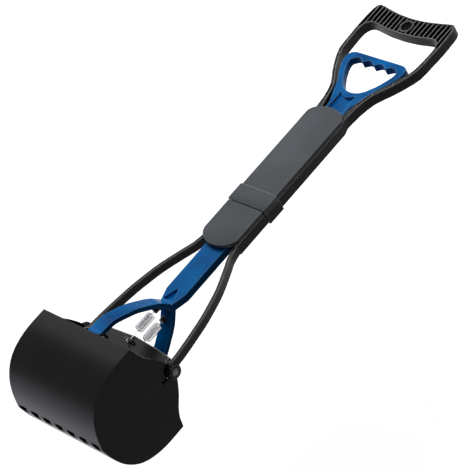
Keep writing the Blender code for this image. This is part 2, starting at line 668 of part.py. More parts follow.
def fork_frame():
    """The black lower stem with the two curved arms that carry the axle."""
    stem = boxes("fork_frame", [((-STEM_HALF_WIDTH, -STEM_HALF_DEPTH, STEM_BOTTOM),
                                 (STEM_HALF_WIDTH, STEM_HALF_DEPTH,
                                  FOLD_HEIGHT - SEAT_GAP))])
    soften(stem, STEM_EDGE)
    outer = smooth_run(scaled(ARM_OUTER_SHARES, BOSS_OUTER, STEM_BOTTOM), 3)
    inner = offset_path(outer, ARM_THICKNESS, False)
    root = STEM_BOTTOM + RIB_PITCH
    right = outer + [(outer[-1][0], root), (inner[-1][0], root)] + inner[::-1]
    left = [(-u, v) for u, v in right]
    arms = outline_solid("fork_arms", [right, left], "Y", -ARM_HALF_DEPTH, ARM_HALF_DEPTH)
    join(stem, soften(arms, ARM_EDGE))
    join(stem, side_rods("arm_bosses", ARM_BOSS_RADIUS, BOSS_INNER, BOSS_OUTER))
    cut(stem, side_rods("arm_holes", AXLE_HOLE_RADIUS, BOSS_INNER - OVERRUN,
                        BOSS_OUTER + OVERRUN, sides=SMALL_SIDES))
    tails = [outline_solid("fork_knuckle_" + side,
                           [hinge_tail(KNUCKLE_RADIUS, STEM_HALF_DEPTH - JOIN_DEPTH,
                                       KNUCKLE_TAIL, -1)], "X",
                           min(SIDES[side] * KNUCKLE_START,
                               SIDES[side] * (KNUCKLE_START + KNUCKLE_LENGTH)),
                           max(SIDES[side] * KNUCKLE_START,
                               SIDES[side] * (KNUCKLE_START + KNUCKLE_LENGTH)))
             for side in SIDES]
    for tail in tails:
        join(stem, tail)
    cut(stem, channel("fork_channel", STEM_BOTTOM - OVERRUN, FOLD_HEIGHT + OVERRUN))
    cut(stem, eye_slot("fork_eye_slot", FOLD_HEIGHT - EYE_TAIL - OVERRUN,
                       FOLD_HEIGHT + KNUCKLE_RADIUS))
    cut(stem, side_rods("fork_knuckle_reliefs", KNUCKLE_RADIUS + SLIDE_GAP,
                        FRAME_KNUCKLE - SEAT_GAP / 2, KNUCKLE_END + SEAT_GAP,
                        COLLAR_BACK, FOLD_HEIGHT))
    cut(stem, side_rods("fork_pin_holes", FOLD_PIN_RADIUS + SEAT_GAP,
                        KNUCKLE_START - OVERRUN, FRAME_KNUCKLE + OVERRUN,
                        COLLAR_BACK, FOLD_HEIGHT, SMALL_SIDES))
    cut(stem, rail_pockets("fork_rail_pockets", STEM_BOTTOM + RIB_PITCH + RAIL_SKIN,
                           FOLD_HEIGHT - KNUCKLE_TAIL + RAIL_SKIN, LOWER_SCREW_HEIGHTS))
    bore_for_screws(stem, LOWER_SCREW_HEIGHTS)
    return stem


def tie_bar():
    """The arched cross bar between the arm ends, with an eye for each spring."""
    top = smooth_run(scaled(TIE_TOP_SHARES, TIE_HALF_WIDTH, TIE_RISE))
    foot = scaled(TIE_BOTTOM_SHARES, TIE_HALF_WIDTH, TIE_RISE)
    bar = outline_solid("tie_bar", [both_sides(top + foot)], "Y",
                        -TIE_HALF_DEPTH, TIE_HALF_DEPTH)
    soften(bar, ARM_EDGE)
    reach = SPRING_OFFSET + 2 * HOOK_RADIUS - SPRING_WIRE_RADIUS - SLIDE_GAP
    join(bar, boxes("spring_eyes", [((-TIE_EYE_HALF_WIDTH, -reach, TIE_EYE_HEIGHT),
                                     (TIE_EYE_HALF_WIDTH, reach,
                                      TIE_EYE_HEIGHT + TIE_EYE_THICKNESS))]))
    cut(bar, rods("spring_eye_holes", WIRE_HOLE_RADIUS, "Z",
                  [(0, ENDS[end] * SPRING_OFFSET, 0) for end in ENDS],
                  TIE_EYE_HEIGHT - OVERRUN, TIE_EYE_HEIGHT + TIE_EYE_THICKNESS + OVERRUN,
                  SMALL_SIDES))
    cut(bar, side_rods("axle_sockets", AXLE_HOLE_RADIUS,
                       WASHER_OUTER - AXLE_HEAD_THICKNESS - AXLE_LENGTH - OVERRUN,
                       TIE_HALF_WIDTH + OVERRUN, sides=SMALL_SIDES))
    return bar


def pivot_washer(name, side):
    """The round cap over a jaw pivot, with a seat for the screw head."""
    low, high = sorted((side * WASHER_SEAT, side * WASHER_OUTER))
    washer = rods(name, WASHER_RADIUS, "X", [(0, 0, 0)], low, high)
    soften(washer, WASHER_THICKNESS / 3, 2)
    low, high = sorted((side * (WASHER_SEAT - OVERRUN), side * (WASHER_OUTER + OVERRUN)))
    cut(washer, rods(name + "_hole", AXLE_HOLE_RADIUS, "X", [(0, 0, 0)], low, high,
                     SMALL_SIDES))
    seat = side * (WASHER_OUTER - AXLE_HEAD_THICKNESS - SEAT_GAP)
    low, high = sorted((seat, side * (WASHER_OUTER + 2 * OVERRUN)))
    cut(washer, rods(name + "_seat", AXLE_HEAD_RADIUS + SEAT_GAP, "X", [(0, 0, 0)],
                     low, high, SMALL_SIDES))
    return washer


def pivot_screw(name, side):
    """The screw that is the jaws' axle on one side."""
    head = -AXLE_HEAD_THICKNESS
    foot = head - AXLE_LENGTH
    screw = turned(name, [(0, 0), (AXLE_HEAD_RADIUS, 0), (AXLE_HEAD_RADIUS, head),
                          (AXLE_RADIUS, head), (AXLE_RADIUS, foot), (0, foot)],
                   SMALL_SIDES)
    screw.rotation_euler = (0, side * math.pi / 2, 0)
    screw.location = (side * WASHER_OUTER, 0, 0)
    return screw


def jaw_fork():
    """The blue lower pull rod and the arch that reaches both jaws."""
    rod = [(0.0, FOLD_HEIGHT - SEAT_GAP), (ROD_HALF_WIDTH, FOLD_HEIGHT - SEAT_GAP),
           (ROD_HALF_WIDTH, GUSSET_TOP), (ARCH_HALF_WIDTH - JOIN_DEPTH, GUSSET_FOOT)]
    fork = outline_solid("jaw_fork", [both_sides(rod)], "Y", -ROD_HALF_DEPTH,
                         ROD_HALF_DEPTH)
    soften(fork, ROD_EDGE)
    outer = smooth_run(scaled(ARCH_SHARES, ARCH_HALF_SPAN, ARCH_TOP), 3)
    inner = offset_path(outer, -ARCH_THICKNESS, False)
    inner[0] = (0.0, inner[0][1])
    arch = outline_solid("arch", [both_sides(outer + inner[::-1])], "X",
                         -ARCH_HALF_WIDTH, ARCH_HALF_WIDTH)
    join(fork, soften(arch, ROD_EDGE))
    pins = [(0, ENDS[end] * ARCH_HALF_SPAN, -ARCH_PIN_DROP) for end in ENDS]
    join(fork, rods("arch_eyes", ARCH_EYE_RADIUS, "X", pins,
                    JOIN_DEPTH - ARCH_HALF_WIDTH, ARCH_HALF_WIDTH - JOIN_DEPTH))
    posts = [(0, ENDS[end] * SPRING_OFFSET, 0) for end in ENDS]
    join(fork, rods("post_pads", POST_PAD_RADIUS, "Z", posts, POST_TOP + SEAT_GAP,
                    POST_TOP + SEAT_GAP + POST_PAD_THICKNESS))
    wide = ARCH_HALF_WIDTH - JOIN_DEPTH
    gusset = [(0.0, GUSSET_POCKET_TOP), (wide, ARCH_TOP + OVERRUN)]
    cut(fork, outline_solid("gusset_pocket", [both_sides(gusset)], "Y",
                            -ROD_HALF_DEPTH - OVERRUN, -ROD_HALF_DEPTH + GUSSET_DEPTH))
    for low, high in spread(EYE_HALF_WIDTH + SEAT_GAP, EYE_PAIR_HALF_WIDTH):
        eye = hinge_tail(EYE_RADIUS, ROD_HALF_DEPTH - JOIN_DEPTH, EYE_TAIL, -1)
        join(fork, outline_solid("lower_eye", [eye], "X", low, high))
    cut(fork, rods("lower_eye_holes", EYE_PIN_RADIUS + SEAT_GAP, "X", [FOLD_AXIS],
                   -EYE_PAIR_HALF_WIDTH - OVERRUN, EYE_PAIR_HALF_WIDTH + OVERRUN,
                   SMALL_SIDES))
    cut(fork, rods("arch_pin_holes", JAW_PIN_RADIUS + SEAT_GAP, "X", pins,
                   -ARCH_HALF_WIDTH - OVERRUN, ARCH_HALF_WIDTH + OVERRUN, SMALL_SIDES))
    cut(fork, rods("post_holes", POST_STUD_RADIUS + SEAT_GAP, "Z", posts,
                   POST_TOP - OVERRUN, POST_TOP + POST_STUD_LENGTH + SEAT_GAP,
                   SMALL_SIDES))
    return fork


def spring_post(name, end):
    """A black knob under the arch, drilled for the spring's wire."""
    stud = POST_TOP + POST_STUD_LENGTH
    post = turned(name, [(0, stud), (POST_STUD_RADIUS, stud), (POST_STUD_RADIUS, POST_TOP),
                         (POST_RADIUS, POST_TOP), (POST_RADIUS, POST_BOTTOM),
                         (WIRE_HOLE_RADIUS, POST_BOTTOM),
                         (WIRE_HOLE_RADIUS, POST_BOTTOM + WIRE_SEAT_DEPTH),
                         (0, POST_BOTTOM + WIRE_SEAT_DEPTH)], SMALL_SIDES)
    post.location = (0, end * SPRING_OFFSET, 0)
    return post


def spring_route(end):
    """The wire's middle line: straight lead, curls, straight lead and end hook."""
    axis = end * SPRING_OFFSET
    half_turn = SPRING_POINTS // 2
    route = [(0, axis, POST_BOTTOM + WIRE_SEAT_DEPTH - SEAT_GAP), (0, axis, POST_BOTTOM),
             (0, axis, SPRING_TOP + SPRING_LEAD)]
    total = SPRING_CURLS * SPRING_POINTS + 2 * half_turn
    rise = SPRING_LENGTH / (SPRING_CURLS * SPRING_POINTS)
    for step in range(1, total):
        angle = 2 * math.pi * step / SPRING_POINTS
        reach = min(1, step / half_turn, (total - step) / half_turn)
        height = SPRING_TOP - (step - half_turn) * rise
        if step < half_turn:
            height = SPRING_TOP + SPRING_LEAD * (1 - step / half_turn) / 2
        if step > total - half_turn:
            height = SPRING_BOTTOM - SPRING_LEAD * (1 - (total - step) / half_turn) / 2
        route.append((SPRING_RADIUS * reach * math.sin(angle),
                      axis + SPRING_RADIUS * reach * math.cos(angle), height))
    hook = TIE_EYE_HEIGHT - HOOK_RADIUS
    route += [(0, axis, SPRING_BOTTOM - SPRING_LEAD), (0, axis, TIE_EYE_HEIGHT)]
    for step in range(7):
        angle = math.pi * step / 6
        route.append((0, axis + end * HOOK_RADIUS * (1 - math.cos(angle)),
                      hook - HOOK_RADIUS * math.sin(angle)))
    route.append((0, axis + end * 2 * HOOK_RADIUS, hook + HOOK_RISE))
    return route


def spring(name, end):
    """A return spring as one unbroken round wire."""
    route = spring_route(end)
    curve = bpy.data.curves.new(name, "CURVE")
    curve.dimensions = "3D"
    curve.bevel_depth = SPRING_WIRE_RADIUS
    curve.bevel_resolution = 1
    curve.use_fill_caps = True
    wire = curve.splines.new("POLY")
    wire.points.add(len(route) - 1)
    for point, place in zip(wire.points, route):
        point.co = (*place, 1)
    least = min(math.dist(a, b) for index, a in enumerate(route)
                for b in route[index + SPRING_POINTS // 2:])
    print(name, "least gap to itself, mm:",
          round((least - 2 * SPRING_WIRE_RADIUS) / MM, 2))
    return link(bpy.data.objects.new(name, curve), PARTS)


def jaw_shape():
    """A toothed jaw, drawn as the rear one: a curved shell, two caps, ears and lugs."""
    plane = SEAT_GAP / 2
    profile = smooth_run(scaled(JAW_PROFILE_SHARES, JAW_HALF_DEPTH, JAW_DEPTH), 3)
    top = smooth_run(scaled(JAW_TOP_SHARES, JAW_HALF_DEPTH, JAW_DEPTH))
    start = math.degrees(math.asin(plane / EAR_RADIUS))
    ear = arc((0, 0), EAR_RADIUS, 8, 270 + start, 14)
    outline = [(plane, profile[0][1])] + profile[1:] + top + ear
    jaw = outline_solid("jaw_shape", [outline], "X", -JAW_HALF_WIDTH, JAW_HALF_WIDTH)
    inset = offset_path(profile, JAW_WALL, False)
    above = EAR_RADIUS + OVERRUN
    inside = [(-above, inset[0][1])] + inset[1:]
    inside += [(inset[-1][0], above), (-above, above)]
    cut(jaw, outline_solid("jaw_inside", [inside], "X", -CAP_INNER, CAP_INNER))
    slot_pitch = 2 * JAW_HALF_WIDTH / SLOT_COUNT
    slot_half = (slot_pitch - TOOTH_WIDTH) / 2
    slots = []
    for index in range(SLOT_COUNT):
        middle = (index - (SLOT_COUNT - 1) / 2) * slot_pitch
        slots.append(((middle - slot_half, -OVERRUN, -JAW_DEPTH - OVERRUN),
                      (middle + slot_half, TOOTH_DEPTH, TOOTH_DEPTH - JAW_DEPTH)))
    cut(jaw, boxes("tooth_slots", slots))
    relief = EAR_RADIUS + SLIDE_GAP
    cut(jaw, rods("ear_relief", relief, "X", [(0, 0, 0)], CAP_INNER - JOIN_DEPTH,
                  JAW_HALF_WIDTH + SEAT_GAP / 2, 2 * ROUND_SIDES))
    reach = EAR_RADIUS + EAR_LINK
    plate = arc((0, 0), EAR_RADIUS, -20, 280, 20) + arc((0, 0), reach, -84, -30, 6)
    join(jaw, outline_solid("outer_ear", [plate], "X", OUTER_EAR, OUTER_EAR + JAW_WALL))
    root = arc((0, 0), relief + SLIDE_GAP, -82, -32, 6)
    root += arc((0, 0), reach - JOIN_DEPTH, -32, -82, 6)
    join(jaw, outline_solid("ear_link", [root], "X", JAW_HALF_WIDTH - JAW_WALL / 2,
                            OUTER_EAR + JAW_WALL / 2))
    cut(jaw, rods("jaw_axle_holes", AXLE_HOLE_RADIUS, "X", [(0, 0, 0)],
                  -JAW_HALF_WIDTH - OVERRUN, WASHER_SEAT + OVERRUN))
    add_lugs(jaw)
    return jaw


def add_lugs(jaw):
    """Two slotted lugs inside the shell, for the pin at the end of the arch."""
    rest = Vector((ARCH_HALF_SPAN, -ARCH_PIN_DROP))
    drawn = rest.normalized() * math.hypot(ARCH_HALF_SPAN, ROD_TRAVEL - ARCH_PIN_DROP)
    lean = math.degrees(math.atan2(rest.y, rest.x))
    plate = arc(drawn, LUG_RADIUS, lean + 270, lean + 90, 8)
    plate += [tuple(rest + (Vector(plate[-1]) - drawn))]
    plate += scaled(LUG_ROOT_SHARES, JAW_HALF_DEPTH, JAW_DEPTH)
    inner = ARCH_HALF_WIDTH + SLIDE_GAP + SEAT_GAP / 2
    for low, high in spread(inner, inner + LUG_THICKNESS):
        join(jaw, outline_solid("jaw_lug", [plate], "X", low, high))
    slot = arc(drawn, LUG_SLOT_RADIUS, lean + 270, lean + 90, 8)
    slot += arc(rest, LUG_SLOT_RADIUS, lean + 90, lean - 90, 8)
    wide = inner + LUG_THICKNESS + OVERRUN
    cut(jaw, outline_solid("lug_slots", [slot], "X", -wide, wide))


def settle(piece):
    """Make the finished shape a plain mesh, so that two pieces can share it."""
    bpy.context.view_layer.update()
    depsgraph = bpy.context.evaluated_depsgraph_get()
    mesh = bpy.data.meshes.new_from_object(piece.evaluated_get(depsgraph))
    tools = [modifier.object for modifier in piece.modifiers if modifier.type == "BOOLEAN"]
    bpy.data.objects.remove(piece)
    for tool in tools:
        bpy.data.objects.remove(tool)
    return mesh


def jaw_pin(name, end):
    """The pin that carries a jaw's lugs on the arch."""
    half = ARCH_HALF_WIDTH + SLIDE_GAP + SEAT_GAP / 2 + LUG_THICKNESS + SEAT_GAP
    return rods(name, JAW_PIN_RADIUS, "X",
                [(0, end * ARCH_HALF_SPAN, -ARCH_PIN_DROP)], -half, half, SMALL_SIDES)


def build():
    """Make every piece and hang it on the empty of the joint that moves it."""
    for old in list(bpy.data.objects):
        bpy.data.objects.remove(old)
    bpy.context.scene.collection.children.link(PARTS)
    bpy.context.scene.collection.children.link(CUTTERS)
    black = material("black_moulding", (0.012, 0.011, 0.011), 0.35, 0.0)
    shell_black = material("jaw_black", (0.01, 0.01, 0.011), 0.22, 0.0)
    blue = material("blue_moulding", (0.01, 0.11, 0.42), 0.3, 0.0)
    grey = material("cover_grey", (0.09, 0.105, 0.12), 0.55, 0.0)
    steel = material("spring_steel", (0.6, 0.6, 0.6), 0.3, 1.0)
    dark_steel = material("dark_screw", (0.05, 0.05, 0.05), 0.35, 0.8)

    tool = empty_at("tool", (0, 0, JAW_DEPTH))
    pull_axis = empty_at("pull_axis", (0, 0, FOLD_HEIGHT), tool)
    fold_axis = empty_at("fold_axis", FOLD_AXIS, tool)
    lower_pull_axis = empty_at("lower_pull_axis", (0, -COLLAR_BACK, 0), fold_axis)
    jaw_axis = empty_at("jaw_axis", (0, -COLLAR_BACK, -FOLD_HEIGHT), fold_axis)

    def hang(piece, look, holder):
        """Give a piece its finish and its parent, where it already is."""
        piece.data.materials.clear()
        piece.data.materials.append(look)
        piece.parent = holder
        while holder is not tool:
            piece.location = piece.location - holder.location
            holder = holder.parent

    hang(handle_frame(), black, tool)
    upper = cover_outline(COVER_HALF_WIDTH, FOLD_HEIGHT + 2 * SEAT_GAP, COVER_TOP, True,
                          COVER_ROUND)
    hang(cover("upper_cover", upper, UPPER_SCREW_HEIGHTS), grey, tool)
    for number, place in enumerate(screw_places(UPPER_SCREW_HEIGHTS), 1):
        hang(cover_screw(f"upper_cover_screw_{number}", place), dark_steel, tool)
    hang(pull_handle(), blue, pull_axis)
    hang(rods("rod_hinge_pin", EYE_PIN_RADIUS, "X", [FOLD_AXIS], -EYE_PAIR_HALF_WIDTH,
              EYE_PAIR_HALF_WIDTH, SMALL_SIDES), steel, pull_axis)

    hang(fork_frame(), black, fold_axis)
    lower = cover_outline(COVER_HALF_WIDTH, COVER_BOTTOM, FOLD_HEIGHT - SEAT_GAP, False,
                          LOWER_COVER_ROUND)
    hang(cover("lower_cover", lower, LOWER_SCREW_HEIGHTS), grey, fold_axis)
    for number, place in enumerate(screw_places(LOWER_SCREW_HEIGHTS), 1):
        hang(cover_screw(f"lower_cover_screw_{number}", place), dark_steel, fold_axis)
    hang(tie_bar(), black, fold_axis)
    for side, sign in SIDES.items():
        hang(pivot_washer(side + "_pivot_washer", sign), black, fold_axis)
        hang(pivot_screw(side + "_pivot_screw", sign), dark_steel, fold_axis)
        low, high = sorted((sign * KNUCKLE_START, sign * KNUCKLE_END))
        hang(rods(side + "_fold_pin", FOLD_PIN_RADIUS, "X", [FOLD_AXIS], low, high,
                  SMALL_SIDES), steel, fold_axis)

    hang(jaw_fork(), blue, lower_pull_axis)
    shape = settle(jaw_shape())
    for end, sign in ENDS.items():
        hang(spring_post(end + "_spring_post", sign), black, lower_pull_axis)
        hang(jaw_pin(end + "_jaw_pin", sign), steel, lower_pull_axis)
        hang(spring(end + "_spring", sign), steel, lower_pull_axis)
        jaw = link(bpy.data.objects.new(end + "_jaw", shape), PARTS)
        jaw.rotation_euler = (0, 0, 0 if end == "rear" else math.pi)
        hang(jaw, shell_black, jaw_axis)
    for cutter in CUTTERS.objects:
        cutter.parent = tool


build()
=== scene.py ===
# %% [markdown]
# A folding pooper scooper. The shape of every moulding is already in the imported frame, so
# this lesson dresses it: smooth walls, wound springs, screws with cross recesses, rounded
# washers and knobs, and a finish for each plastic and metal. The frame is loaded first,
# and its box is kept, because the dressed tool has to be the same size.

import json
import math

import bpy
from mathutils import Matrix, Vector


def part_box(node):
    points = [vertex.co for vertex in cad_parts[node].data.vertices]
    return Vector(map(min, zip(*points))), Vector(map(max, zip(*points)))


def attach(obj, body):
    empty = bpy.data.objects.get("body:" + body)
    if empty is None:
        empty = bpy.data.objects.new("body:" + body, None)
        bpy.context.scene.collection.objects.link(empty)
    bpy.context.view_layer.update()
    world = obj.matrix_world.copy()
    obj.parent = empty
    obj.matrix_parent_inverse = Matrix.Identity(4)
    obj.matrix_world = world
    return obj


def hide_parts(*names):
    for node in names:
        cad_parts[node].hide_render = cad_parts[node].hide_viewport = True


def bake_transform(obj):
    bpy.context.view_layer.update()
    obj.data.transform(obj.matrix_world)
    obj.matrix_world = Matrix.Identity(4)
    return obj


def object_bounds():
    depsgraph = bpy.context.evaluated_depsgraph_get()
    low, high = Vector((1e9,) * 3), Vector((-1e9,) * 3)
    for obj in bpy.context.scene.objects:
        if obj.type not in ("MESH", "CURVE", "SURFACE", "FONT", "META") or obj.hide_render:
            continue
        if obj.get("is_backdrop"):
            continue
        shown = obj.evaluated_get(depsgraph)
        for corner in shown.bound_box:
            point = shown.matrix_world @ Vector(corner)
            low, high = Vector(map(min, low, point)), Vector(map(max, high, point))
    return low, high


MM = 0.001
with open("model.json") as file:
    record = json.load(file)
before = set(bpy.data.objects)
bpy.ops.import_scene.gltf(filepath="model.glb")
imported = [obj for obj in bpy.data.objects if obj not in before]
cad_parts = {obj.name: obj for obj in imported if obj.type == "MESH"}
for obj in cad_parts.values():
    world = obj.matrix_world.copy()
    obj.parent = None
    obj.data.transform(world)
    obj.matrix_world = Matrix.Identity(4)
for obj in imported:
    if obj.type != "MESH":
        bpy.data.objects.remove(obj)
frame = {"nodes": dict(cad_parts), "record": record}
cad_low, cad_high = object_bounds()
bodies = frame["record"]["behaviour"]["bodies"]
body_of_node = {node: body for body, nodes in bodies.items() for node in nodes}
slot_of_node = {part["node"]: part["material_slot"] for part in frame["record"]["subparts"]}
print("nodes in the frame:", len(body_of_node))

# %% [markdown]
# The photograph looks at the tool's front from low down, with the shaft leaning to the
# right. A camera is an aim point, a distance, two angles and a roll, which say this more
# plainly than a matrix does. A long lens from two and a half metres keeps the shaft's
# edges nearly parallel, as they are in the picture.

# %% The camera
CAMERA_AIM = (41.8 * MM, -32.8 * MM, 265.3 * MM)
CAMERA_DISTANCE = 2464.9 * MM
CAMERA_AZIMUTH = 47.03
CAMERA_ELEVATION = -18.95
CAMERA_ROLL = 41.15
CAMERA_LENS = 181.2
CAMERA_SENSOR = 36.0


def outward(azimuth, elevation):
    """The direction from the tool to a camera or a lamp at these angles."""
    turn = math.radians(azimuth)
    rise = math.radians(elevation)
    return Vector((math.sin(turn) * math.cos(rise), -math.cos(turn) * math.cos(rise),
                   math.sin(rise)))


def make_camera():
    """Turn the camera's minus Z to the aim point, then roll it about that line."""
    data = bpy.data.cameras.new("camera")
    data.lens = CAMERA_LENS
    data.sensor_width = CAMERA_SENSOR
    camera = bpy.data.objects.new("camera", data)
    bpy.context.scene.collection.objects.link(camera)
    away = outward(CAMERA_AZIMUTH, CAMERA_ELEVATION)
    aim = (-away).to_track_quat("-Z", "Y").to_matrix().to_4x4()
    roll = Matrix.Rotation(math.radians(CAMERA_ROLL), 4, "Z")
    place = Vector(CAMERA_AIM) + away * CAMERA_DISTANCE
    camera.matrix_world = Matrix.Translation(place) @ aim @ roll
    bpy.context.scene.camera = camera
    return camera


camera = make_camera()
print("camera at", [round(value, 3) for value in camera.location])

# %% [markdown]
# In this view the tool lies on its back, so the pale floor is an upright sheet behind it,
# just far enough for the fork to swing back on the fold hinge. Its front keeps the tool's
# soft shadow. Its back face is made transparent, so that other views look through it, and
# it blocks no light, so that a lamp behind it still reaches the tool's back.
#
# A white sheet this large would also throw its own light on the tool and turn black
# plastic grey. So the sheet is white only where it is seen, by the camera, in a reflection
# or through a clear part, and it is dark for the light that it passes on. The Light Path
# node tells these rays apart.

# %% The floor
WHITE = (1.0, 1.0, 1.0)
FLOOR_SIZE = 2.4
FLOOR_GAP = 5.0 * MM
FLOOR_COLOUR = (0.98, 0.98, 0.98)
FLOOR_BOUNCE = (0.06, 0.06, 0.06)
FLOOR_GLOW = 0.52


def seen_directly(nodes, links):
    """1 on rays from the camera, a reflection or a clear part, 0 on those that light."""
    ray = nodes.new("ShaderNodeLightPath")
    seen = ray.outputs["Is Camera Ray"]
    for name in ("Is Glossy Ray", "Is Transmission Ray"):
        either = nodes.new("ShaderNodeMath")
        either.operation = "MAXIMUM"
        links.new(seen, either.inputs[0])
        links.new(ray.outputs[name], either.inputs[1])
        seen = either.outputs["Value"]
    return seen


def floor_paper():
    """Matt paper, white where it is seen, and transparent from behind."""
    paper = bpy.data.materials.new("floor_paper")
    paper.use_nodes = True
    nodes = paper.node_tree.nodes
    links = paper.node_tree.links
    shader = nodes["Principled BSDF"]
    shader.inputs["Roughness"].default_value = 1.0
    shader.inputs["Specular IOR Level"].default_value = 0.0
    shader.inputs["Emission Color"].default_value = (*WHITE, 1)
    seen = seen_directly(nodes, links)
    colour = nodes.new("ShaderNodeMix")
    colour.data_type = "RGBA"
    colour.inputs["A"].default_value = (*FLOOR_BOUNCE, 1)
    colour.inputs["B"].default_value = (*FLOOR_COLOUR, 1)
    links.new(seen, colour.inputs["Factor"])
    links.new(colour.outputs["Result"], shader.inputs["Base Color"])
    glow = nodes.new("ShaderNodeMath")
    glow.operation = "MULTIPLY"
    glow.inputs[1].default_value = FLOOR_GLOW
    links.new(seen, glow.inputs[0])
    links.new(glow.outputs["Value"], shader.inputs["Emission Strength"])
    side = nodes.new("ShaderNodeNewGeometry")
    clear = nodes.new("ShaderNodeBsdfTransparent")
    mix = nodes.new("ShaderNodeMixShader")
    links.new(side.outputs["Backfacing"], mix.inputs["Fac"])
    links.new(shader.outputs["BSDF"], mix.inputs[1])
    links.new(clear.outputs["BSDF"], mix.inputs[2])
    links.new(mix.outputs["Shader"], nodes["Material Output"].inputs["Surface"])
    return paper


def make_floor():
    """Stand the sheet behind everything that the fold hinge swings."""
    joints = frame["record"]["behaviour"]["joints"]
    fold = next(joint for joint in joints if joint["name"] == "fold")
    swing = math.hypot(fold["pos_m"][2], cad_high.y)
    place = (0, fold["pos_m"][1] + swing + FLOOR_GAP, cad_high.z / 2)
    bpy.ops.object.select_all(action="DESELECT")
    bpy.ops.mesh.primitive_plane_add(size=FLOOR_SIZE, location=place,
                                     rotation=(math.pi / 2, 0, 0))
    floor = bpy.context.object
    floor.name = "floor"
    floor.data.materials.append(floor_paper())
    floor.visible_shadow = False
    floor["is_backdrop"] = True
    return floor


floor = make_floor()
print("floor stands behind the tool at y =", round(floor.location.y, 3))

# %% [markdown]
# The world is white in the same way: where it is seen. For everything else it is a weak,
# even light, which fills the shadows a little.

# %% The world
WORLD_LIGHT = 0.10


def make_world():
    """White where it is seen, and a weak light otherwise."""
    world = bpy.data.worlds.new("studio")
    bpy.context.scene.world = world
    world.use_nodes = True
    nodes = world.node_tree.nodes
    links = world.node_tree.links
    light = nodes["Background"]
    light.inputs["Color"].default_value = (*WHITE, 1)
    strength = nodes.new("ShaderNodeMapRange")
    strength.inputs["To Min"].default_value = WORLD_LIGHT
    strength.inputs["To Max"].default_value = 1.0
    links.new(seen_directly(nodes, links), strength.inputs["Value"])
    links.new(strength.outputs["Result"], light.inputs["Strength"])


make_world()
print("the world lights the tool at", WORLD_LIGHT)

# %% [markdown]
# Four area lamps light the tool, because a wide lamp gives soft shadows and broad
# highlights, as a studio's do. The key lamp hangs above the front, a cool one at the left
# draws light along the edges, and a small bluish one lights the jaws from below. The last
# one stands behind for the views of the back. They are hidden from the camera, but a
# glossy wall still mirrors them. The view transform is Standard, so that a colour renders
# about as it is written.

# %% The lamps
# Name, azimuth and elevation in degrees, distance and size in metres, power in watts,
# colour.
LAMPS = [("key_lamp", -10, 30, 2.0, 1.2, 26.0, WHITE),
         ("edge_lamp", -50, 19, 2.0, 0.9, 7.0, (0.92, 0.97, 1.0)),
         ("low_lamp", -122, -42, 0.8, 0.7, 1.6, (0.80, 0.77, 1.0)),
         ("back_lamp", -160, 25, 2.0, 1.2, 20.0, WHITE)]


def make_lamp(name, azimuth, elevation, distance, size, power, colour):
    """A square lamp at these angles, turned to the camera's aim point."""
    data = bpy.data.lights.new(name, "AREA")
    data.size = size
    data.energy = power
    data.color = colour
    lamp = bpy.data.objects.new(name, data)
    bpy.context.scene.collection.objects.link(lamp)
    away = outward(azimuth, elevation)
    lamp.location = Vector(CAMERA_AIM) + away * distance
    lamp.rotation_euler = (-away).to_track_quat("-Z", "Y").to_euler()
    lamp.visible_camera = False
    return lamp


lamps = [make_lamp(*settings) for settings in LAMPS]
bpy.context.scene.view_settings.view_transform = "Standard"
print("lamps:", ", ".join(lamp.name for lamp in lamps))

# %% [markdown]
# Moulded plastic is never one flat colour. The mould's fine grain breaks up the
# highlight, and the flow of the melt shades it in soft clouds. A bevel node finds the
# edges: near an edge its rounded normal turns away from the flat one. Each finish paints
# a pale colour there, a painted highlight that draws every edge as a thin light line. The
# same rounded normal also goes to the shader, so that every edge catches a thin line of
# real light as well. These effects are the same in each finish, only at another strength,
# so they are one node group that all of them share.

# %% The shared surface of the mouldings
GRAIN_SCALE = 900.0
GRAIN_DETAIL = 3.0
CLOUD_SCALE = 14.0
CLOUD_DETAIL = 5.0
POLISH = 0.3
POLISH_CHANGE = 0.1
EDGE_RADIUS = 1.0 * MM
EDGE_SAMPLES = 6
EDGE_START = 0.995
EDGE_FULL = 0.95


